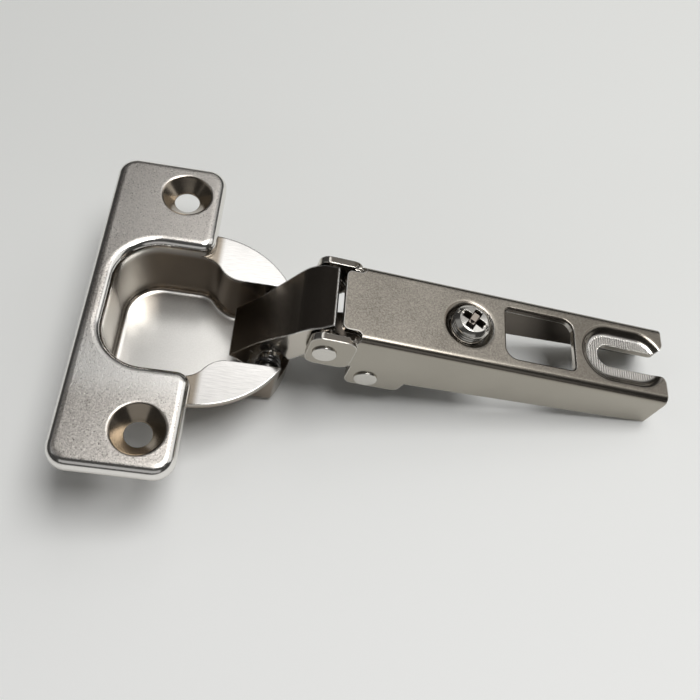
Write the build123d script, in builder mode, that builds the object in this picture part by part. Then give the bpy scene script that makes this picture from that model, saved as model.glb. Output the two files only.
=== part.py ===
from build123d import *
from math import asin, atan2, cos, radians, sin, sqrt
import os

os.makedirs("parts", exist_ok=True)

# The door face is z = 0, the cup axis is the z axis, and the arm points to +x.

# Cup bore, sheet and flange
bore_d = 35.0
cup_sheet = 1.2
cup_depth = 12.4
draft_deg = 3.5
flange_len = 62.8
flange_w = 20.3
flange_edge_x = 0.8
flange_h = 2.6
flange_corner_r = 3.6
lip_r = 1.7
notch_r = 2.6
floor_r = 1.2
drum_base_r = 1.5

# Wood screw holes of the flange
hole_pitch = 48.0
hole_setback = 6.0
hole_r = 2.3
countersink_r = 4.6
countersink_rim_r = 0.7
countersink_land = 0.9

# Cup cavity: wide well, S bend and throat
well_back_x = -15.6
well_half_w = 12.4
well_corner_r = 7.8
well_least_wall = 0.5
throat_half_w = 8.3
throat_bend_x = (-1.5, 6.3)
throat_sill_z = -5.0
throat_overlap = 0.4

# Linkage pivots as (x, z) with the hinge fully open
cup_outer = (10.8, -5.6)
cup_inner = (13.0, -2.0)
arm_front = (22.0, 6.9)
arm_rear = (30.2, -0.8)
rear_eye_shift = (-0.89, 0.04)

# Pins and clearances
cup_pin_r = 1.25
cup_pin_chamfer = 0.3
arm_pin_r = 1.4
pin_head_r = 2.1
pin_head_h = 0.38
pin_head_edge_r = 0.2
running_gap = 0.05
open_pivot_gap = 0.95

# Arm channel, in arm coordinates: s along, d down from the top face
arm_slope_deg = 6.34
arm_front_x = 24.33
arm_front_z = 11.74
arm_sheet = 1.3
arm_half_w = 7.7
arm_len = 59.4
arm_bend_r = 1.5
wall_start_s = 2.4
wall_depth_tip = 8.46
wall_depth_step = 11.5
wall_step_run = (0.3, 0.9)
lobe_depth = 14.4
lobe_s = (3.7, 13.3)
lobe_corner_r = 1.6
tongue_half_w = 5.8
tongue_corner_r = 1.0
ear_s = (-4.7, 3.1)
ear_d = (0.6, 8.8)
ear_out = 0.6
ear_corner_r = 1.9

# Openings of the arm, set out from its tip
screw_to_window = 6.64
window_len = 12.9
window_to_pad = 2.86
window_half_w = 5.0
window_wide_r = 2.2
window_tight_r = 0.9
window_rim_r = 0.4
slot_len = 12.7
slot_half_w = 2.2
slot_mouth_half_w = 3.9
slot_mouth_len = 2.0

# Sunk pad round the slot, with teeth across the arm
pad_len = 13.8
pad_to_tip = 1.0
pad_half_w = 4.3
pad_drop = 1.0
pad_wall_deg = 50
pad_soft_r = 1.4
pad_back_margin = 0.7
tooth_pitch = 0.45
tooth_gap = 0.2
tooth_depth = 0.16
tooth_margin = 0.3

# Adjusting screw
screw_r = 3.35
screw_gap = 0.08
screw_above = 1.75
screw_edge = 0.5
collar_depth = 4.6
collar_wall = 1.7
collar_rim_r = 1.6
screw_shank_depth = 8.4
neck_r = 2.2
foot_r = 3.9
foot_depth = 11.0
foot_h = 1.3
recess_turn_deg = -28
recess_len = 4.4
recess_w = 1.1
recess_depth = 2.0
recess_taper_deg = 8
driver_slot_w = 0.9
driver_slot_depth = 0.8

# Outer link
link_sheet = 1.2
link_top = ((22.9, 12.04), (18.5, 10.7), (6.0, -4.05))
link_bend_r = 7.0
link_half_w = 6.4
link_front_half_w = 5.75
link_cup_half_w = 5.0
link_shoulder_x = (20.6, 18.4, 9.4)
link_cheek_top = ((20.6, 10.6), (18.7, 9.9), (9.6, -0.9))
link_cheek_low = ((10.9, -3.9), (11.4, -2.2), (11.9, -0.75), (13.6, 0.5), (15.1, 0.9), (16.4, -0.6))
link_eye_r = 2.7
link_eye_cover = (1.0, 2.4)
lug_r = 2.3
lug_back = 1.9
lug_rise = 4.2

# Inner link
inner_half_w = 3.4
inner_wide_half_w = 6.0
inner_step_x = (26.2, 28.4)
inner_eye_r = 2.2
inner_rear_eye_r = 3.35

# Closing springs
spring_wire = 0.7
spring_turn_gap = 0.04
spring_mean_r = 1.95
spring_turns = 1.75
spring_start_y = 6.25

bore_r = bore_d / 2
well_r = bore_r - cup_sheet
throat_end_x = sqrt(well_r**2 - throat_half_w**2)
s_mid = ((throat_bend_x[0] + throat_bend_x[1]) / 2, (well_half_w + throat_half_w) / 2)
flange_mid_x = flange_edge_x - flange_w / 2
floor_z = cup_sheet - cup_depth
beyond = 2 * bore_d

slope = radians(arm_slope_deg)
arm_along = (cos(slope), 0, -sin(slope))
arm_up = (sin(slope), 0, cos(slope))
arm_origin = (arm_front_x, 0, arm_front_z)
arm_top = Plane(origin=arm_origin, x_dir=arm_along, z_dir=arm_up)
arm_side = Plane(origin=arm_origin, x_dir=arm_along, z_dir=(0, -1, 0))
arm_section = Plane(origin=arm_origin, x_dir=(0, 1, 0), z_dir=arm_along)
arm_inside_half_w = arm_half_w - arm_sheet
ear_outer_y = arm_half_w + ear_out
ear_inner_y = ear_outer_y - arm_sheet
relief_r = (arm_half_w - tongue_half_w) / 2
slot_bottom_s = arm_len - slot_len
pad_mid_s = arm_len - pad_to_tip - pad_len / 2
window_mid_s = pad_mid_s - pad_len / 2 - window_to_pad - window_len / 2
screw_s = window_mid_s - window_len / 2 - screw_to_window
pad_spread = 2 * pad_drop
tooth_count = int(pad_len / tooth_pitch)


def arm_local(point):
    """Turn an (x, z) point of the hinge into arm coordinates, along and up."""
    spot = arm_top.to_local_coords(Vector(point[0], 0, point[1]))
    return (spot.X, spot.Z)


link_in_half_w = link_half_w - link_sheet
link_cup_in_half_w = link_cup_half_w - link_sheet
strip_run = (Vector(*link_top[1]) - Vector(*link_top[2])).normalized()
strip_up = Vector(-strip_run.Y, strip_run.X)


def lug_point(along, up):
    """Give an (x, z) point by its distances along and up from the outer cup pin."""
    spot = Vector(*cup_outer) + strip_run * along + strip_up * up
    return (spot.X, spot.Y)


# Cavity outline of the cup, drawn from the wide well to the throat
with BuildSketch() as well_plan:
    with BuildLine() as well_line:
        near = Line((well_back_x, well_half_w), (throat_bend_x[0], well_half_w))
        bend_out = TangentArc(near @ 1, s_mid, tangent=(1, 0))
        bend_in = TangentArc(s_mid, (throat_bend_x[1], throat_half_w), tangent=bend_out % 1)
        neck = Line(bend_in @ 1, (throat_end_x, throat_half_w))
        mirror(about=Plane.XZ)
        ThreePointArc((throat_end_x, throat_half_w), (well_r, 0), (throat_end_x, -throat_half_w))
        Line((well_back_x, well_half_w), (well_back_x, -well_half_w))
    make_face()
    fillet(well_plan.vertices().group_by(Axis.X)[0], radius=well_corner_r)
    Circle(bore_r - well_least_wall, mode=Mode.INTERSECT)

with BuildSketch() as drum_plan:
    add(well_plan.sketch)
    offset(amount=cup_sheet)
    Circle(bore_r, mode=Mode.INTERSECT)

# Gap of the flange over the well, open towards the arm
with BuildSketch() as flange_gap:
    with Locations((well_back_x, 0)):
        Rectangle(bore_d, 2 * well_half_w, align=(Align.MIN, Align.CENTER))
    fillet(flange_gap.vertices().group_by(Axis.X)[0], radius=well_corner_r)

# Cup: flange tray, drum, wings and well in one pressing
screw_spots = ((-hole_setback, hole_pitch / 2), (-hole_setback, -hole_pitch / 2))
with BuildPart() as cup:
    with BuildSketch(Plane.XY) as flange_plan:
        with Locations((flange_mid_x, 0)):
            RectangleRounded(flange_w, flange_len, flange_corner_r)
        add(flange_gap.sketch, mode=Mode.SUBTRACT)
        inner_corners = flange_plan.vertices().filter_by(lambda v: abs(v.Y) < well_half_w + notch_r)
        fillet(inner_corners.group_by(Axis.X)[-1], radius=notch_r)
    extrude(amount=flange_h)
    fillet(cup.faces().sort_by(Axis.Z)[-1].edges(), radius=lip_r)
    with BuildSketch(Plane.XY):
        with Locations((flange_mid_x, 0)):
            inside_r = flange_corner_r - cup_sheet
            RectangleRounded(flange_w - 2 * cup_sheet, flange_len - 2 * cup_sheet, inside_r)
        add(drum_plan.sketch, mode=Mode.SUBTRACT)
        with Locations(*screw_spots):
            Circle(countersink_r + countersink_land, mode=Mode.SUBTRACT)
    extrude(amount=flange_h - cup_sheet, mode=Mode.SUBTRACT)
    with BuildSketch(Plane.XY):
        add(drum_plan.sketch)
    extrude(amount=-cup_depth, taper=draft_deg)
    fillet(cup.faces().sort_by(Axis.Z)[0].edges(), radius=drum_base_r)
    with BuildSketch(Plane.XY):
        Circle(bore_r)
        Rectangle(beyond, beyond, align=(Align.MAX, Align.CENTER), mode=Mode.SUBTRACT)
    extrude(amount=-cup_sheet)
    with BuildSketch(Plane.XY):
        add(well_plan.sketch)
    extrude(amount=floor_z, taper=draft_deg, mode=Mode.SUBTRACT)
    floor = cup.faces().filter_by(Plane.XY).group_by(lambda f: abs(f.center().Z - floor_z))[0]
    fillet(floor.edges(), radius=floor_r)
    with BuildSketch(Plane.XY.offset(throat_sill_z)):
        with Locations((throat_end_x - throat_overlap, 0)):
            Rectangle(beyond, 2 * throat_half_w, align=(Align.MIN, Align.CENTER))
    extrude(amount=beyond, mode=Mode.SUBTRACT)
    with BuildSketch(Plane.XZ):
        with Locations(cup_outer, cup_inner):
            Circle(cup_pin_r)
    extrude(amount=throat_half_w + cup_sheet, both=True, mode=Mode.SUBTRACT)
    with Locations(Plane.XY.offset(flange_h)):
        with Locations(*screw_spots):
            CounterSinkHole(radius=hole_r, counter_sink_radius=countersink_r, counter_sink_angle=90)
    top_face = cup.faces().filter_by(Plane.XY).sort_by(Axis.Z)[-1]
    rims = top_face.edges().filter_by(GeomType.CIRCLE)
    fillet(rims.filter_by(lambda e: abs(e.radius - countersink_r) < hole_r / 10), radius=countersink_rim_r)
cup.part.label = "cup"
export_step(cup.part, "parts/cup.step")

# Arm: folded channel with tongue, ears, collar, window, sunk pad and open slot
with BuildPart() as arm:
    with BuildSketch(arm_section) as channel:
        with BuildLine():
            Polyline(
                (-arm_half_w, -bore_d),
                (-arm_half_w, 0),
                (arm_half_w, 0),
                (arm_half_w, -bore_d),
                (arm_inside_half_w, -bore_d),
                (arm_inside_half_w, -arm_sheet),
                (-arm_inside_half_w, -arm_sheet),
                (-arm_inside_half_w, -bore_d),
                close=True,
            )
        make_face()
        fillet(channel.vertices().group_by(Axis.Y)[-1], radius=arm_bend_r)
        fillet(channel.vertices().group_by(Axis.Y)[1], radius=arm_bend_r / 3)
    extrude(amount=arm_len + pad_spread)
    with BuildSketch(arm_top.offset(-arm_sheet)):
        with Locations((pad_mid_s, 0)):
            SlotOverall(pad_len + 2 * pad_back_margin, 2 * (pad_half_w + pad_back_margin))
    extrude(amount=-pad_drop)
    with BuildSketch(arm_top.offset(-pad_drop)):
        with Locations((pad_mid_s, 0)):
            SlotOverall(pad_len, 2 * pad_half_w)
    extrude(amount=pad_drop, mode=Mode.SUBTRACT, taper=-pad_wall_deg)
    pad_floor = arm.faces().group_by(lambda f: abs(arm_top.to_local_coords(f.center()).Z + pad_drop))[0]
    fillet(pad_floor.edges(), radius=pad_soft_r)
    web = arm.faces().group_by(lambda f: abs(arm_top.to_local_coords(f.center()).Z))[0][0]
    fillet(web.inner_wires()[0].edges(), radius=pad_soft_r)
    with BuildSketch(arm_top.offset(-pad_drop)):
        with Locations((pad_mid_s, 0)):
            with GridLocations(tooth_pitch, 0, tooth_count, 1):
                Rectangle(tooth_gap, 2 * pad_half_w)
            SlotOverall(pad_len - 2 * tooth_margin, 2 * (pad_half_w - tooth_margin), mode=Mode.INTERSECT)
    extrude(amount=-tooth_depth, mode=Mode.SUBTRACT)
    with BuildSketch(arm_side) as wall_shape:
        with BuildLine():
            Polyline(
                (wall_start_s, arm_sheet),
                (arm_len, arm_sheet),
                (arm_len, -wall_depth_tip),
                (lobe_s[1] + wall_step_run[1], -wall_depth_step),
                (lobe_s[1] + wall_step_run[0], -lobe_depth),
                (lobe_s[0], -lobe_depth),
                (lobe_s[0], -ear_d[1]),
                (wall_start_s, -ear_d[1]),
                close=True,
            )
        make_face()
        fillet(wall_shape.vertices().group_by(Axis.Y)[0], radius=lobe_corner_r)
    extrude(amount=bore_d, both=True, mode=Mode.INTERSECT)
    with BuildSketch(arm_top) as tongue:
        Rectangle(wall_start_s + arm_sheet, 2 * tongue_half_w, align=(Align.MIN, Align.CENTER))
        fillet(tongue.vertices().group_by(Axis.X)[0], radius=tongue_corner_r)
    extrude(amount=-arm_sheet)
    with BuildSketch(arm_side.offset(ear_inner_y)) as ear:
        with BuildLine():
            Polyline(
                (ear_s[0], -ear_d[0]),
                (ear_s[1], -ear_d[0]),
                (ear_s[1], -ear_d[1]),
                (ear_s[0], -ear_d[1]),
                close=True,
            )
        make_face()
        fillet(ear.vertices(), radius=ear_corner_r)
    extrude(amount=arm_sheet)
    mirror(about=Plane.XZ)
    with BuildSketch(arm_top):
        with Locations((wall_start_s, tongue_half_w + relief_r), (wall_start_s, -tongue_half_w - relief_r)):
            Circle(relief_r)
    extrude(amount=-arm_sheet, mode=Mode.SUBTRACT)
    with BuildSketch(arm_side):
        with Locations(arm_local(arm_front), arm_local(arm_rear)):
            Circle(arm_pin_r)
    extrude(amount=bore_d, both=True, mode=Mode.SUBTRACT)
    with BuildSketch(arm_top.offset(-arm_sheet)):
        with Locations((screw_s, 0)):
            Circle(screw_r + screw_gap + collar_wall)
    extrude(amount=arm_sheet - collar_depth)
    with BuildSketch(arm_top):
        with Locations((screw_s, 0)):
            Circle(screw_r + screw_gap)
    extrude(amount=-2 * collar_depth, mode=Mode.SUBTRACT)
    rings = arm.edges().filter_by(GeomType.CIRCLE)
    bore_rings = rings.filter_by(lambda e: abs(e.radius - screw_r - screw_gap) < screw_gap)
    fillet(bore_rings.sort_by(Axis.Z)[-1], radius=collar_rim_r)
    with BuildSketch(arm_top) as window:
        with Locations((window_mid_s, 0)):
            Rectangle(window_len, 2 * window_half_w)
        corners = window.vertices().group_by(Axis.X)
        fillet([corners[0].sort_by(Axis.Y)[0], corners[1].sort_by(Axis.Y)[1]], radius=window_wide_r)
        slanted = window.vertices().sort_by(lambda v: v.X - v.Y)
        fillet([slanted[0], slanted[-1]], radius=window_tight_r)
    extrude(amount=-2 * arm_sheet, mode=Mode.SUBTRACT)
    flats = arm.faces().group_by(lambda f: abs(arm_top.to_local_coords(f.center()).Z))[0]
    outlines = flats.sort_by(SortBy.AREA)[-1].inner_wires()
    by_window = outlines.sort_by(lambda w: abs(arm_top.to_local_coords(w.center()).X - window_mid_s))
    fillet(by_window[0].edges(), radius=window_rim_r)
    with BuildSketch(arm_top):
        with BuildLine():
            throat_end_s = slot_bottom_s + slot_half_w
            flare_s = arm_len - slot_mouth_len
            low = Line((throat_end_s, -slot_half_w), (flare_s, -slot_half_w))
            low_flare = TangentArc(low @ 1, (arm_len, -slot_mouth_half_w), tangent=low % 1)
            ThreePointArc(low @ 0, (slot_bottom_s, 0), (throat_end_s, slot_half_w))
            high = Line((throat_end_s, slot_half_w), (flare_s, slot_half_w))
            high_flare = TangentArc(high @ 1, (arm_len, slot_mouth_half_w), tangent=high % 1)
            Polyline(
                low_flare @ 1,
                (arm_len + arm_sheet, -slot_mouth_half_w),
                (arm_len + arm_sheet, slot_mouth_half_w),
                high_flare @ 1,
            )
        make_face()
    extrude(amount=-2 * (arm_sheet + pad_drop), mode=Mode.SUBTRACT)
arm.part.label = "arm"
export_step(arm.part, "parts/arm.step")

# Outer link: bent strip that narrows into the cup, with cheeks and lugs folded down its sides
with BuildPart() as outer_link:
    with BuildSketch(Plane.XZ):
        with BuildLine():
            Polyline(
                *link_cheek_top,
                *link_cheek_low,
                (arm_front[0] - link_eye_cover[0], arm_front[1] - link_eye_cover[1]),
                (arm_front[0] + link_eye_cover[1], arm_front[1] - link_eye_cover[0]),
                close=True,
            )
        make_face()
        with BuildLine():
            Polyline(
                lug_point(lug_r, 0),
                lug_point(lug_r, lug_rise),
                lug_point(-lug_back, lug_rise),
                lug_point(-lug_back, 0),
                close=True,
            )
        make_face()
        with Locations(cup_outer):
            Circle(lug_r)
            Circle(cup_pin_r + running_gap, mode=Mode.SUBTRACT)
        with Locations(arm_front):
            Circle(link_eye_r)
            Circle(arm_pin_r + running_gap, mode=Mode.SUBTRACT)
    extrude(amount=link_half_w, both=True)
    with BuildSketch(Plane.XY.offset(-bore_d)):
        with BuildLine():
            wide_in = Line((bore_d, link_in_half_w), (link_shoulder_x[1], link_in_half_w))
            slim_in = (link_shoulder_x[2], link_cup_in_half_w)
            swing_in = Spline(wide_in @ 1, slim_in, tangents=((-1, 0), (-1, 0)))
            tail_in = Line(swing_in @ 1, (0, link_cup_in_half_w))
            mirror(about=Plane.XZ)
            Line(tail_in @ 1, (0, -link_cup_in_half_w))
            Line(wide_in @ 0, (bore_d, -link_in_half_w))
        make_face()
    extrude(amount=2 * bore_d, mode=Mode.SUBTRACT)
    with BuildSketch(Plane.XZ):
        with BuildLine():
            strip = FilletPolyline(*link_top, radius=link_bend_r)
            offset(strip, amount=link_sheet, side=Side.LEFT)
        make_face()
    extrude(amount=link_half_w, both=True)
    with BuildSketch(Plane.XY.offset(-bore_d)):
        with BuildLine():
            wide = Line((bore_d, link_half_w), (link_shoulder_x[1], link_half_w))
            swing = Spline(wide @ 1, (link_shoulder_x[2], link_cup_half_w), tangents=((-1, 0), (-1, 0)))
            tail = Line(swing @ 1, (0, link_cup_half_w))
            mirror(about=Plane.XZ)
            Line(tail @ 1, (0, -link_cup_half_w))
            Line(wide @ 0, (bore_d, -link_half_w))
        make_face()
    extrude(amount=2 * bore_d, mode=Mode.INTERSECT)
    with BuildSketch(Plane.XY.offset(arm_front[1] + link_eye_r)):
        with BuildLine():
            Polyline(
                (link_shoulder_x[0], bore_r),
                (link_shoulder_x[0], link_half_w),
                (link_top[0][0], link_front_half_w),
                (bore_d, link_front_half_w),
                (bore_d, bore_r),
                close=True,
            )
        make_face()
        mirror(about=Plane.XZ)
    extrude(amount=bore_d, mode=Mode.SUBTRACT)
outer_link.part.label = "outer_link"
export_step(outer_link.part, "parts/outer_link.step")

# Inner link: folded channel with a narrow cup end and a wide arm end
rear_eye = (arm_rear[0] + rear_eye_shift[0], arm_rear[1] + rear_eye_shift[1])
eye_run = (rear_eye[0] - cup_inner[0], rear_eye[1] - cup_inner[1])
eye_pitch = sqrt(eye_run[0] ** 2 + eye_run[1] ** 2)
web_tilt = atan2(eye_run[1], eye_run[0]) + asin((inner_rear_eye_r - inner_eye_r) / eye_pitch)
web_along = (cos(web_tilt), 0, sin(web_tilt))
web_up = (-sin(web_tilt), 0, cos(web_tilt))
web_under = Plane(origin=(cup_inner[0], 0, cup_inner[1]), x_dir=web_along, z_dir=web_up)
step_s = [(x - cup_inner[0]) / cos(web_tilt) for x in inner_step_x]
with BuildPart() as inner_link:
    with BuildSketch(Plane.XZ):
        with Locations(cup_inner):
            Circle(inner_eye_r)
        with Locations(rear_eye):
            Circle(inner_rear_eye_r)
        make_hull()
    extrude(amount=inner_wide_half_w, both=True)
    with BuildSketch(Plane.XY.offset(-bore_d)) as inner_plan:
        with BuildLine():
            narrow_edge = Line((0, inner_half_w), (inner_step_x[0], inner_half_w))
            step_out = Line(narrow_edge @ 1, (inner_step_x[1], inner_wide_half_w))
            wide_edge = Line(step_out @ 1, (2 * bore_d, inner_wide_half_w))
            mirror(about=Plane.XZ)
            Line(narrow_edge @ 0, (0, -inner_half_w))
            Line(wide_edge @ 1, (2 * bore_d, -inner_wide_half_w))
        make_face()
    extrude(amount=2 * bore_d, mode=Mode.INTERSECT)
    with BuildSketch(web_under.offset(inner_eye_r - link_sheet)):
        with BuildLine():
            inside = -2 * inner_eye_r
            low_edge = Line((inside, inner_half_w - link_sheet), (step_s[0], inner_half_w - link_sheet))
            low_step = Line(low_edge @ 1, (step_s[1], inner_wide_half_w - link_sheet))
            low_wide = Line(low_step @ 1, (bore_d, inner_wide_half_w - link_sheet))
            mirror(about=Plane.XZ)
            Line(low_edge @ 0, (inside, link_sheet - inner_half_w))
            Line(low_wide @ 1, (bore_d, link_sheet - inner_wide_half_w))
        make_face()
    extrude(amount=-bore_d, mode=Mode.SUBTRACT)
    with BuildSketch(Plane.XZ):
        with Locations(cup_inner):
            Circle(cup_pin_r + running_gap)
        with Locations(rear_eye):
            Circle(arm_pin_r + open_pivot_gap)
    extrude(amount=bore_d, both=True, mode=Mode.SUBTRACT)
inner_link.part.label = "inner_link"
export_step(inner_link.part, "parts/inner_link.step")

# Riveted pins of the arm and pins of the cup throat
with BuildPart() as arm_pin_front:
    with BuildSketch(Plane.XZ):
        with Locations(arm_front):
            Circle(arm_pin_r)
    extrude(amount=ear_outer_y, both=True)
    with BuildSketch(Plane.XZ.offset(ear_outer_y)):
        with Locations(arm_front):
            Circle(pin_head_r)
    extrude(amount=pin_head_h)
    mirror(about=Plane.XZ)
    fillet(arm_pin_front.faces().sort_by(Axis.Y)[0].edges(), radius=pin_head_edge_r)
    fillet(arm_pin_front.faces().sort_by(Axis.Y)[-1].edges(), radius=pin_head_edge_r)
arm_pin_front.part.label = "arm_pin_front"
export_step(arm_pin_front.part, "parts/arm_pin_front.step")

with BuildPart() as arm_pin_rear:
    with BuildSketch(Plane.XZ):
        with Locations(arm_rear):
            Circle(arm_pin_r)
    extrude(amount=arm_half_w, both=True)
    with BuildSketch(Plane.XZ.offset(arm_half_w)):
        with Locations(arm_rear):
            Circle(pin_head_r)
    extrude(amount=pin_head_h)
    mirror(about=Plane.XZ)
    fillet(arm_pin_rear.faces().sort_by(Axis.Y)[0].edges(), radius=pin_head_edge_r)
    fillet(arm_pin_rear.faces().sort_by(Axis.Y)[-1].edges(), radius=pin_head_edge_r)
arm_pin_rear.part.label = "arm_pin_rear"
export_step(arm_pin_rear.part, "parts/arm_pin_rear.step")

with BuildPart() as cup_pin_outer:
    with BuildSketch(Plane.XZ):
        with Locations(cup_outer):
            Circle(cup_pin_r)
    extrude(amount=throat_half_w + cup_sheet, both=True)
    chamfer(cup_pin_outer.faces().sort_by(Axis.Y)[0].edges(), length=cup_pin_chamfer)
    chamfer(cup_pin_outer.faces().sort_by(Axis.Y)[-1].edges(), length=cup_pin_chamfer)
cup_pin_outer.part.label = "cup_pin_outer"
export_step(cup_pin_outer.part, "parts/cup_pin_outer.step")

with BuildPart() as cup_pin_inner:
    with BuildSketch(Plane.XZ):
        with Locations(cup_inner):
            Circle(cup_pin_r)
    extrude(amount=throat_half_w + cup_sheet, both=True)
    chamfer(cup_pin_inner.faces().sort_by(Axis.Y)[0].edges(), length=cup_pin_chamfer)
    chamfer(cup_pin_inner.faces().sort_by(Axis.Y)[-1].edges(), length=cup_pin_chamfer)
cup_pin_inner.part.label = "cup_pin_inner"
export_step(cup_pin_inner.part, "parts/cup_pin_inner.step")

# Closing springs: torsion coils on the inner cup pin
with BuildPart() as closing_spring_far:
    with BuildLine() as coil:
        Helix(
            pitch=spring_wire + spring_turn_gap,
            height=spring_turns * (spring_wire + spring_turn_gap),
            radius=spring_mean_r,
            center=(cup_inner[0], spring_start_y, cup_inner[1]),
            direction=(0, 1, 0),
        )
    with BuildSketch(coil.line ^ 0):
        Circle(spring_wire / 2)
    sweep(is_frenet=True)
closing_spring_far.part.label = "closing_spring_far"
export_step(closing_spring_far.part, "parts/closing_spring_far.step")

with BuildPart() as closing_spring_near:
    add(closing_spring_far.part)
    mirror(about=Plane.XZ, mode=Mode.REPLACE)
closing_spring_near.part.label = "closing_spring_near"
export_step(closing_spring_near.part, "parts/closing_spring_near.step")

# Adjusting screw: plain shank, neck and mushroom foot, with a crossed driver recess
screw_origin = arm_top.from_local_coords((screw_s, 0, 0))
screw_side = Plane(origin=screw_origin, x_dir=arm_along, z_dir=(0, -1, 0))
screw_top = Plane(origin=screw_origin, x_dir=arm_along, z_dir=arm_up)
with BuildPart() as adjusting_screw:
    with BuildSketch(screw_side):
        with BuildLine():
            Polyline(
                (0, screw_above),
                (screw_r - screw_edge, screw_above),
                (screw_r, screw_above - screw_edge),
                (screw_r, -screw_shank_depth + screw_edge),
                (screw_r - screw_edge, -screw_shank_depth),
                (neck_r, -screw_shank_depth),
                (neck_r, -foot_depth + foot_h),
                (foot_r, -foot_depth + foot_h),
                (foot_r, -foot_depth + screw_edge),
                (foot_r - screw_edge, -foot_depth),
                (0, -foot_depth),
                close=True,
            )
        make_face()
    revolve(axis=Axis(screw_origin, arm_up))
    with BuildSketch(screw_top.offset(screw_above)):
        Rectangle(recess_len, recess_w, rotation=recess_turn_deg)
        Rectangle(recess_w, recess_len, rotation=recess_turn_deg)
    extrude(amount=-recess_depth, taper=recess_taper_deg, mode=Mode.SUBTRACT)
    with BuildSketch(screw_top.offset(screw_above)):
        Rectangle(4 * screw_r, driver_slot_w, rotation=recess_turn_deg)
    extrude(amount=-driver_slot_depth, mode=Mode.SUBTRACT)
adjusting_screw.part.label = "adjusting_screw"
export_step(adjusting_screw.part, "parts/adjusting_screw.step")
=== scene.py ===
import math
import bpy
import numpy as np
from mathutils import Matrix, Vector


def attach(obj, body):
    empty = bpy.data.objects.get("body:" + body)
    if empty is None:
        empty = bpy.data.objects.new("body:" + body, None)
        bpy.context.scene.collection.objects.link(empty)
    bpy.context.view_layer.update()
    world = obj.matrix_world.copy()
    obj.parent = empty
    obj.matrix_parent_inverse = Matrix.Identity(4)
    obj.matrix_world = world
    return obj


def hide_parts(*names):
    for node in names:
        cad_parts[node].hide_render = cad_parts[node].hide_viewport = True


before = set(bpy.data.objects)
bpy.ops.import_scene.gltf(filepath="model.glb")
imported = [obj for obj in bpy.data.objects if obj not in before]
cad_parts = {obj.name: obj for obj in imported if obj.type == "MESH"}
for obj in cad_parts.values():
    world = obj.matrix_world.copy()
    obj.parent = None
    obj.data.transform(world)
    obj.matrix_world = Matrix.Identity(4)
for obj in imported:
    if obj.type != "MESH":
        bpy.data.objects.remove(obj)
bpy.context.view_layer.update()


# Cup: one deep-drawn piece of nickel-plated sheet steel, pressed with its
# flange, drum and two crescent wings. The flange keeps the grain of the barrel
# plating, while the wings and rolled lips come out of the die bright.
class Signal:
    """A value or colour in a material; sums and products of signals add Math nodes to its tree."""

    def __init__(self, tree, socket=None):
        self.tree = tree
        self.socket = socket

    def feed(self, socket, value):
        if isinstance(value, Signal):
            self.tree.links.new(value.socket, socket)
        else:
            socket.default_value = value

    def node(self, kind, settings=None, sockets=None, out=0):
        made = self.tree.nodes.new(kind)
        for name, value in (settings or {}).items():
            setattr(made, name, value)
        for name, value in (sockets or {}).items():
            self.feed(made.inputs[name], value)
        return Signal(self.tree, made.outputs[out])

    def maths(self, operation, *values):
        return self.node("ShaderNodeMath", {"operation": operation}, dict(enumerate(values)))

    def __add__(self, other):
        return self.maths("ADD", self, other)

    def __sub__(self, other):
        return self.maths("SUBTRACT", self, other)

    def __rsub__(self, other):
        return self.maths("SUBTRACT", other, self)

    def __mul__(self, other):
        return self.maths("MULTIPLY", self, other)

    __radd__ = __add__
    __rmul__ = __mul__

    def rise(self, low, high):
        """Zero below low, one above high, smooth between them."""
        return self.node(
            "ShaderNodeMapRange",
            {"interpolation_type": "SMOOTHSTEP"},
            {"Value": self, "From Min": low, "From Max": high},
        )

    def mixed(self, low, high):
        """A colour between low and high, picked by this value."""
        return self.node("ShaderNodeMix", {"data_type": "RGBA"}, {"Factor": self, 6: low, 7: high}, out=2)

    def part(self, index):
        """One of the three numbers of a vector."""
        return self.node("ShaderNodeSeparateXYZ", sockets={"Vector": self}, out=index)

    def noise(self, scale, detail=2.0, roughness=0.5):
        """A cloudy value from 0 to 1 at this place, with about scale clouds to the metre."""
        wanted = {"Vector": self, "Scale": scale, "Detail": detail, "Roughness": roughness}
        return self.node("ShaderNodeTexNoise", sockets=wanted)


def new_finish(name):
    """An empty metal material: its tree start, its main shader and its place and facing on the piece."""
    finish = bpy.data.materials.new(name)
    finish.use_nodes = True
    start = Signal(finish.node_tree)
    place = start.node("ShaderNodeTexCoord", out=3)
    facing = start.node("ShaderNodeTexCoord", out=1)
    shader = finish.node_tree.nodes["Principled BSDF"].inputs
    shader["Metallic"].default_value = 1.0
    return finish, start, shader, place, facing


def wear_finish(node, finish):
    """Give a carried-over node its material."""
    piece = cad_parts[node]
    piece.data.materials.clear()
    piece.data.materials.append(finish)


def pressed_relief(start, shader, height, depth, edge):
    """Bump of the given depth on faces whose sharp edges are softened over the width edge."""
    soft = start.node("ShaderNodeBevel", {"samples": 6}, {"Radius": edge})
    bump = start.node("ShaderNodeBump", sockets={"Height": height, "Distance": depth, "Normal": soft})
    start.feed(shader["Normal"], bump)


def edge_highlight_mask(start, width):
    """One on sharp outer edges, falling to zero within about width of them: the mask for painted edge
    highlights.
    """
    soft = start.node("ShaderNodeBevel", {"samples": 8}, {"Radius": width})
    flat = start.node("ShaderNodeNewGeometry", out=1)
    agree = start.node("ShaderNodeVectorMath", {"operation": "DOT_PRODUCT"}, {0: soft, 1: flat}, out=1)
    return 1 - agree.rise(0.93, 0.997)


def plating_grain(place):
    """Specks of two sizes, as barrel plating leaves them on flat sheet."""
    coarse = place.noise(3200.0, 2.0, 0.6).rise(0.30, 0.70)
    fine = place.noise(6800.0, 2.0, 0.7).rise(0.30, 0.70)
    return coarse * 0.5 + fine * 0.5


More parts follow.
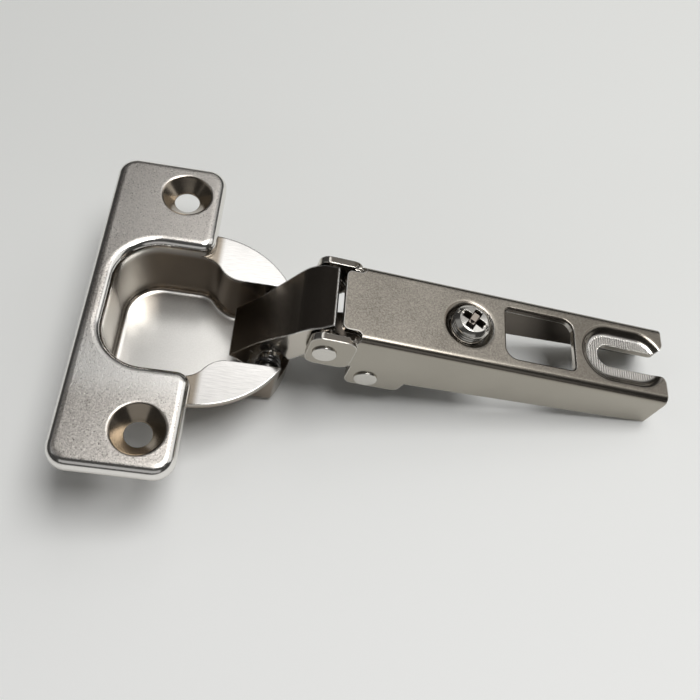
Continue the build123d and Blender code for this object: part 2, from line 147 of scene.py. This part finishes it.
def cup_finish():
    """Grain on the flange top with painted sheen near the well and towards its far side; wings and lips
    bright; the well's walls in painted light and shade, satin on its floor; painted shade in the
    countersinks and at the wings' fold.
    """
    finish, start, shader, place, facing = new_finish("cup_nickel")
    hole_setback, hole_half_pitch = 0.006, 0.024
    well_half_width, well_back = 0.0124, -0.0156
    across, height, up = place.part(1), place.part(2), facing.part(2)
    aside = across.maths("ABSOLUTE", across)
    flange_top = height.rise(0.0018, 0.0025) * up.rise(0.86, 0.98)
    well_floor = (1 - height.rise(-0.0112, -0.0100)) * up.rise(0.85, 0.97)
    wing = (1 - height.rise(0.0002, 0.0006)) * height.rise(-0.0006, -0.0002) * up.rise(0.9, 0.98)
    inside = (1 - height.rise(-0.0012, 0.0012)) * (1 - well_floor) * (1 - wing)
    hole_x, hole_y = place.part(0) + hole_setback, aside - hole_half_pitch
    # Painted shade in the countersinks round the screw holes; they are also a little rougher.
    countersink = 1 - (hole_x * hole_x + hole_y * hole_y).rise(0.0000195, 0.0000240)
    # Painted shade along the fold where the wings leave the flange.
    fold_shade = wing * (1 - place.part(0).rise(0.0012, 0.0026))
    # Painted sheen: near the well, on its near side, the flange is blended towards bright polish for the
    # light it catches there.
    from_well = aside.maths("MAXIMUM", aside - well_half_width, well_back - place.part(0))
    painted_lip_sheen = (1 - from_well.rise(0.0015, 0.0085)) * (1 - across.rise(-0.013, -0.002))
    speck, cloud = plating_grain(place), place.noise(110.0)
    grained = (speck * 0.8 + cloud * 0.2).mixed((0.29, 0.264, 0.236, 1), (0.82, 0.775, 0.72, 1))
    # Painted sheen: the grain is lightened towards the flange's far side.
    grained = (across.rise(0.002, 0.018) * 0.35).mixed(grained, (0.95, 0.90, 0.845, 1))
    polished = cloud.mixed((0.80, 0.78, 0.74, 1), (0.90, 0.88, 0.85, 1))
    # Painted light and shade: the well's walls are lighter where they face +x, towards the arm, and darker
    # where they turn away.
    walls = facing.part(0).rise(0.25, 0.9).mixed((0.27, 0.225, 0.18, 1), (0.44, 0.41, 0.365, 1))
    along_wing = {"Vector": place, "Scale": (420.0, 4200.0, 420.0)}
    streaks = start.node("ShaderNodeMapping", sockets=along_wing).noise(1.0, 3.0)
    streaked = streaks.mixed((0.62, 0.60, 0.575, 1), (0.90, 0.88, 0.85, 1))
    floor = (speck * 0.5 + cloud * 0.5).mixed((0.72, 0.70, 0.66, 1), (0.90, 0.88, 0.84, 1))
    flange = (painted_lip_sheen * 0.8).mixed(grained, polished)
    bare = wing.mixed(inside.mixed(polished, walls), streaked)
    colour = flange_top.mixed(well_floor.mixed(bare, floor), flange)
    shade = (countersink + fold_shade).mixed((1, 1, 1, 1), (0.42, 0.37, 0.31, 1))
    wanted = {"Factor": 1.0, 6: colour, 7: shade}
    colour = start.node("ShaderNodeMix", {"data_type": "RGBA", "blend_type": "MULTIPLY"}, wanted, out=2)
    start.feed(shader["Base Color"], colour)
    dull = flange_top * (0.12 + 0.10 * speck) + well_floor * 0.14 + inside * 0.12 + countersink * 0.06
    start.feed(shader["Roughness"], 0.14 + dull)
    pressed_relief(start, shader, speck * (flange_top + 0.35 * well_floor), 0.000012, 0.0003)
    return finish


wear_finish("cup", cup_finish())


# Cup pins: two lengths of drawn steel wire pressed across the throat of the
# cup, where the links turn on them.
def drawn_steel(name, low, high, rough):
    """Fine lengthwise draw lines from a noise stretched along the wire."""
    finish, start, shader, place, facing = new_finish(name)
    stretched = start.node("ShaderNodeMapping", sockets={"Vector": place, "Scale": (4000.0, 300.0, 4000.0)})
    lines = stretched.noise(1.0)
    start.feed(shader["Base Color"], lines.mixed(low, high))
    start.feed(shader["Roughness"], rough + 0.12 * lines)
    pressed_relief(start, shader, lines, 0.000004, 0.00015)
    return finish


pin_nickel = drawn_steel("pin_nickel", (0.58, 0.56, 0.52, 1), (0.72, 0.70, 0.66, 1), 0.18)
wear_finish("cup_pin_outer", pin_nickel)
wear_finish("cup_pin_inner", pin_nickel)


# Closing springs: two short torsion coils of hard spring wire on the inner
# cup pin, one on each side of the inner link, coloured near black as
# painted shade for the dark gap between the links.
spring_steel = drawn_steel("spring_steel", (0.06, 0.06, 0.06, 1), (0.16, 0.155, 0.15, 1), 0.22)
wear_finish("closing_spring_near", spring_steel)
wear_finish("closing_spring_far", spring_steel)


# Links: the outer one is a bent strip with cheeks, the inner one a folded
# channel. Both are pressed from sheet and plated smooth; their dark base tone is a painted dark reflection,
# with painted light on side faces and painted highlights on edges.
def smooth_nickel(name, low, high, rough, edge, side_light=None, rim=None):
    """Polished plating with a faint cloud and haze; optional colours give painted light on faces turned
    sideways and a painted highlight along sharp edges.
    """
    finish, start, shader, place, facing = new_finish(name)
    haze = place.noise(2200.0)
    colour = place.noise(160.0, 3.0).mixed(low, high)
    if side_light:
        # Painted light: faces turned sideways get a lighter copy of the plating.
        sideways = facing.part(1).maths("ABSOLUTE", facing.part(1)).rise(0.75, 0.95)
        colour = sideways.mixed(colour, side_light)
    if rim:
        # Painted highlight along the sharp edges.
        colour = edge_highlight_mask(start, edge).mixed(colour, rim)
    start.feed(shader["Base Color"], colour)
    start.feed(shader["Roughness"], rough + 0.08 * haze)
    pressed_relief(start, shader, haze, 0.000002, edge)
    return finish


# Painted dark reflection: the plating's base colour is kept dark for the dim room the links mirror.
link_low, link_high = (0.19, 0.162, 0.135, 1), (0.25, 0.218, 0.186, 1)
# Painted light on the links' side faces, and a near-white painted highlight for their edges.
link_side_light, link_edge_glint = (0.56, 0.525, 0.47, 1), (0.93, 0.91, 0.88, 1)
link_nickel = smooth_nickel("link_nickel", link_low, link_high, 0.16, 0.0005, link_side_light, link_edge_glint)
wear_finish("outer_link", link_nickel)
wear_finish("inner_link", link_nickel)


# Arm: a folded channel of the same plated sheet, grainy on top, with smooth
# side walls, a collar for the screw, a window and a toothed pad round its slot.
arm_slope = math.radians(6.34)
web_front_x, web_front_z = 0.02433, 0.01174


def height_over_web(place):
    """How far a place lies above the top face of the sloping arm."""
    web_level = web_front_x * math.sin(arm_slope) + web_front_z * math.cos(arm_slope)
    return place.part(0) * math.sin(arm_slope) + place.part(2) * math.cos(arm_slope) - web_level


def arm_finish():
    """Grain where the sheet faces up at the level of the web; satin on the walls, dish and pad; painted
    shade on the bends, the inner walls, the pad's grooves and towards the tip; painted light and shade on
    the dish and pad slopes.
    """
    finish, start, shader, place, facing = new_finish("arm_nickel")
    over_web = height_over_web(place)
    web = over_web.rise(-0.0003, -0.0001) * facing.part(2).rise(0.95, 0.991)
    pad = place.part(0).rise(0.0676, 0.0680) * (1 - over_web.rise(-0.00092, -0.0007))
    pad = pad * facing.part(2).rise(0.7, 0.9)
    sideways = facing.part(1).maths("ABSOLUTE", facing.part(1))
    # Painted shade: a dark band along the bends of the shoulders.
    shaded_bend = sideways.rise(0.10, 0.40) * (1 - sideways.rise(0.80, 0.98)) * facing.part(2).rise(0.1, 0.4)
    shaded_bend = shaded_bend * over_web.rise(-0.0020, -0.0012)
    speck, cloud = plating_grain(place), place.noise(90.0)
    formed = over_web.rise(-0.0030, -0.0024) * (1 - sideways.rise(0.80, 0.95))
    formed = formed * (1 - web) * (1 - pad) * (1 - shaded_bend)
    grained = (speck * 0.6 + cloud * 0.4).mixed((0.07, 0.061, 0.05, 1), (0.40, 0.368, 0.318, 1))
    satin = cloud.mixed((0.34, 0.315, 0.27, 1), (0.43, 0.402, 0.35, 1))
    # Painted shade on the inner faces of the side walls, inside the channel.
    within = 1 - (place.part(1) * facing.part(1)).rise(-0.004, -0.001)
    satin = within.mixed(satin, (0.13, 0.113, 0.096, 1))
    # Painted shade: the grain darkens towards the tip of the arm.
    grained = (place.part(0).rise(0.050, 0.074) * 0.4).mixed(grained, (0.085, 0.073, 0.058, 1))
    # Painted light and shade on the formed slopes of the dish and pad: light where they face -x, dark where
    # they face +x.
    dish_shading = facing.part(0).rise(-0.30, 0.25)
    colour = formed.mixed(satin, dish_shading.mixed((0.78, 0.745, 0.69, 1), (0.17, 0.147, 0.12, 1)))
    # Painted shade in the grooves between the pad's teeth, against light lands.
    groove_shaded_teeth = over_web.rise(-0.00108, -0.00102).mixed((0.05, 0.045, 0.04, 1), (0.82, 0.79, 0.75, 1))
    colour = pad.mixed(web.mixed(colour, grained), groove_shaded_teeth)
    colour = (shaded_bend * 0.7).mixed(colour, (0.13, 0.112, 0.092, 1))
    # Painted highlight along the arm's sharp edges.
    start.feed(shader["Base Color"], edge_highlight_mask(start, 0.0003).mixed(colour, (0.80, 0.77, 0.72, 1)))
    start.feed(shader["Roughness"], 0.20 + web * (0.16 + 0.10 * speck) + 0.06 * cloud - 0.10 * formed)
    pressed_relief(start, shader, speck * (web + 0.05), 0.000012, 0.0003)
    return finish


wear_finish("arm", arm_finish())


# Arm pins: riveted over in the ears and lobes of the arm and plated with it.
wear_finish("arm_pin_front", pin_nickel)
wear_finish("arm_pin_rear", pin_nickel)


# Adjusting screw: turned steel with a fine rolled thread, a crossed recess
# with a slot through it, and a mushroom foot that hooks into the plate.
screw_along_web = 0.0222


def threaded_screw():
    """Turn one outline round the screw axis, with the thread and the recess added to it.

    The outline runs from the middle of the foot over the neck and the shank to
    the middle of the crowned top. On the shank the radius falls by the thread
    depth times a triangle wave of (height / pitch - turn). On the top the
    height falls by the largest of three soft-edged bars that grow shallower
    towards their ends: two short ones that cross and one long shallow slot.
    """
    shank_r, pitch, thread_depth, columns = 3.34, 0.6, 0.30, 192
    recess_turn = math.radians(-28.0)
    along = np.array((math.cos(arm_slope), 0.0, -math.sin(arm_slope)))
    across = np.array((0.0, 1.0, 0.0))
    up = np.array((math.sin(arm_slope), 0.0, math.cos(arm_slope)))
    axis_at_web = 1000 * (np.array((web_front_x, 0.0, web_front_z)) + screw_along_web * along)
    foot_under = ((1.8, -11.0), (3.5, -11.0), (3.7, -10.9), (3.88, -10.6))
    foot_over = ((3.88, -9.72), (3.86, -9.7), (2.22, -9.7))
    foot = np.array(foot_under + foot_over)
    neck = np.array(((2.2, -9.68), (2.2, -8.42), (2.25, -8.4), (3.2, -8.4)))
    shank_z = np.linspace(-8.3, 0.85, 200)
    shank = np.column_stack((np.full_like(shank_z, shank_r), shank_z))
    rim = np.array(((-0.1, 0.95), (-0.3, 1.15), (-0.55, 1.37), (-0.78, 1.54))) + (shank_r, 0.0)
    crown_r = np.linspace(shank_r - 0.86, 0.06, 72)
    crown = np.column_stack((crown_r, 1.74 - 0.14 * (crown_r / crown_r[0]) ** 2))
    outline = np.concatenate((foot, neck, shank, rim, crown))
    turn = np.arange(columns) / columns
    reach = np.repeat(outline[:, :1], columns, axis=1)
    rise = np.repeat(outline[:, 1:], columns, axis=1)
    run_in, run_out = np.clip((rise + 8.4) / 0.3, 0, 1), np.clip((0.95 - rise) / 0.2, 0, 1)
    on_shank = run_in * run_out * (reach > shank_r - 0.04)
    wave = np.abs(2 * ((rise / pitch - turn) % 1.0) - 1)
    reach = reach - thread_depth * wave * on_shank
    a = reach * np.cos(2 * np.pi * turn - recess_turn)
    b = reach * np.sin(2 * np.pi * turn - recess_turn)

    def bar(length_way, width_way, half_length, half_width, depth):
        soft = 0.16
        inside_l = np.clip((half_length - np.abs(length_way)) / soft, 0, 1)
        inside_w = np.clip((half_width - np.abs(width_way)) / soft, 0, 1)
        return depth * inside_l * inside_w * (1 - 0.5 * np.abs(length_way) / half_length)

    recess = np.maximum(bar(a, b, 2.1, 0.72, 1.5), bar(b, a, 2.1, 0.72, 1.5))
    recess = np.maximum(recess, bar(a, b, 9.0, 0.5, 0.45))
    rise = rise - recess * (outline[:, 1:] > 1.3) * (outline[:, :1] < shank_r - 0.5)
    ring = np.stack((reach * np.cos(2 * np.pi * turn), reach * np.sin(2 * np.pi * turn), rise), axis=-1)
    poles = np.array(((0.0, 0.0, -11.0), (0.0, 0.0, 0.24)))
    local = np.concatenate((ring.reshape(-1, 3), poles))
    points = axis_at_web + local[:, :1] * along + local[:, 1:2] * across + local[:, 2:] * up
    rows = len(outline)
    row, column = np.meshgrid(np.arange(rows - 1), np.arange(columns), indexing="ij")
    beside = (column + 1) % columns
    this_ring, next_ring = row * columns, (row + 1) * columns
    corners = (this_ring + column, this_ring + beside, next_ring + beside, next_ring + column)
    quads = np.stack(corners, axis=-1).reshape(-1, 4)
    first = np.arange(columns)
    second = (first + 1) % columns
    foot_fan = np.column_stack((second, first, np.full(columns, rows * columns)))
    last = (rows - 1) * columns
    top_fan = np.column_stack((last + first, last + second, np.full(columns, rows * columns + 1)))
    mesh = bpy.data.meshes.new("adjusting_screw_threaded")
    mesh.from_pydata((points / 1000).tolist(), [], quads.tolist() + foot_fan.tolist() + top_fan.tolist())
    mesh.polygons.foreach_set("use_smooth", np.ones(len(mesh.polygons), dtype=bool))
    mesh.set_sharp_from_angle(angle=math.radians(32))
    screw = bpy.data.objects.new("adjusting_screw_threaded", mesh)
    bpy.context.scene.collection.objects.link(screw)
    return screw


def screw_finish():
    """Bright on the crown and on the crests of the thread, with painted shade in the recess and in the
    thread's roots.
    """
    finish, start, shader, place, facing = new_finish("screw_nickel")
    over_web = height_over_web(place)
    run = place.part(0) * math.cos(arm_slope) - place.part(2) * math.sin(arm_slope)
    axis_run = web_front_x * math.cos(arm_slope) - web_front_z * math.sin(arm_slope) + screw_along_web
    off_axis, across = run - axis_run, place.part(1)
    reach = run.maths("SQRT", off_axis * off_axis + across * across)
    recess = (1 - reach.rise(0.0024, 0.0026)) * (1 - over_web.rise(0.0008, 0.0015))
    root = (1 - reach.rise(0.00306, 0.00328)) * (1 - over_web.rise(0.0008, 0.00095))
    haze = place.noise(2200.0)
    bright = haze.mixed((0.52, 0.50, 0.46, 1), (0.74, 0.72, 0.68, 1))
    # Painted shade in the recess and the thread's roots.
    sunk_shade = recess.maths("MAXIMUM", recess, root)
    start.feed(shader["Base Color"], sunk_shade.mixed(bright, (0.05, 0.044, 0.038, 1)))
    start.feed(shader["Roughness"], 0.14 + 0.08 * haze)
    pressed_relief(start, shader, haze, 0.000002, 0.00005)
    return finish


screw = threaded_screw()
screw.data.materials.append(screw_finish())
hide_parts("adjusting_screw")
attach(screw, "adjusting_screw")


# Floor: a plain pale table. The hinge lies on the round edge of its cup and
# on the tip of its arm, so the table leans a little against the door face.
def table_top(low_spot, high_spot, reach):
    """A square sheet through two points of the xz plane, level along y."""
    along = Vector((high_spot[0] - low_spot[0], 0, high_spot[1] - low_spot[1])).normalized()
    middle = Vector((0.03, 0, low_spot[1] + (0.03 - low_spot[0]) * along.z / along.x))
    side = Vector((0, 1, 0))
    spots = [middle + along * a * reach + side * b * reach for a, b in ((-1, -1), (1, -1), (1, 1), (-1, 1))]
    sheet = bpy.data.meshes.new("table")
    sheet.from_pydata([tuple(s) for s in spots], [], [(0, 1, 2, 3)])
    table = bpy.data.objects.new("table", sheet)
    bpy.context.scene.collection.objects.link(table)
    finish, start, shader, place, facing = new_finish("table_white")
    # Painted light: the table brightens towards the front, with a faint cloudy mottle.
    painted_light_and_mottle = place.part(1).rise(0.06, -0.10) * 0.85 + place.noise(12.0) * 0.15
    start.feed(shader["Base Color"], painted_light_and_mottle.mixed((0.84, 0.845, 0.82, 1), (1.0, 1.0, 0.985, 1)))
    shader["Metallic"].default_value = 0.0
    shader["Roughness"].default_value = 0.7
    shader["Specular IOR Level"].default_value = 0.2
    sheet.materials.append(finish)
    return table


table_top((0.01549, -0.0124), (0.08243, -0.00325), 1.5)


# Light: large boxes to the left, right and above light the table; a dim panel
# behind is what the flat faces mirror, with a small bright strip for the wings.
def soft_box(name, place, aim, width, height, brightness):
    """An area light of the given size that faces the aim point; its power is brightness x pi x area."""
    lamp = bpy.data.lights.new(name, "AREA")
    lamp.shape = "RECTANGLE"
    lamp.size, lamp.size_y = width, height
    lamp.energy = brightness * math.pi * width * height
    box = bpy.data.objects.new(name, lamp)
    box.location = place
    box.rotation_euler = (Vector(aim) - Vector(place)).to_track_quat("-Z", "Y").to_euler()
    bpy.context.scene.collection.objects.link(box)


aim = (0.03, 0.0, 0.0)
soft_box("soft_box_right", (0.55, 0.20, 0.46), aim, 0.5, 0.5, 0.75)
soft_box("soft_box_left", (-0.45, 0.02, 0.50), aim, 0.5, 0.5, 0.25)
soft_box("soft_box_top", (0.18, 0.035, 0.72), aim, 0.46, 0.32, 8.0)
soft_box("panel_back", (0.30, 0.56, 0.66), aim, 0.9, 0.6, 0.42)
soft_box("strip_back", (-0.01, 0.295, 0.505), (0.01, 0.0, 0.0), 0.13, 0.18, 1.02)
soft_box("panel_front", (0.03, -0.56, 0.30), aim, 0.8, 0.3, 0.38)
room = bpy.data.worlds.new("room")
room.use_nodes = True
room.node_tree.nodes["Background"].inputs["Color"].default_value = (0.98, 0.97, 0.95, 1)
room.node_tree.nodes["Background"].inputs["Strength"].default_value = 0.05
bpy.context.scene.world = room
bpy.context.scene.view_settings.view_transform = "Standard"


# Camera: stands over the near edge of the flange and looks along the arm's far side.
lens = bpy.data.cameras.new("camera")
lens.sensor_width = 36.0
lens.lens = 850.0 / 700.0 * 36.0
lens.clip_start = 0.005
camera = bpy.data.objects.new("camera", lens)
right = Vector((0.98602548, 0.0684022, 0.1519042))
over = Vector((-0.13520694, 0.86128235, 0.48980792))
back = Vector((-0.09732847, -0.50350159, 0.8584948))
stand = Matrix((right, over, back)).transposed().to_4x4()
stand.translation = Vector((0.012411, -0.078662, 0.129108))
camera.matrix_world = stand
bpy.context.scene.collection.objects.link(camera)
bpy.context.scene.camera = camera
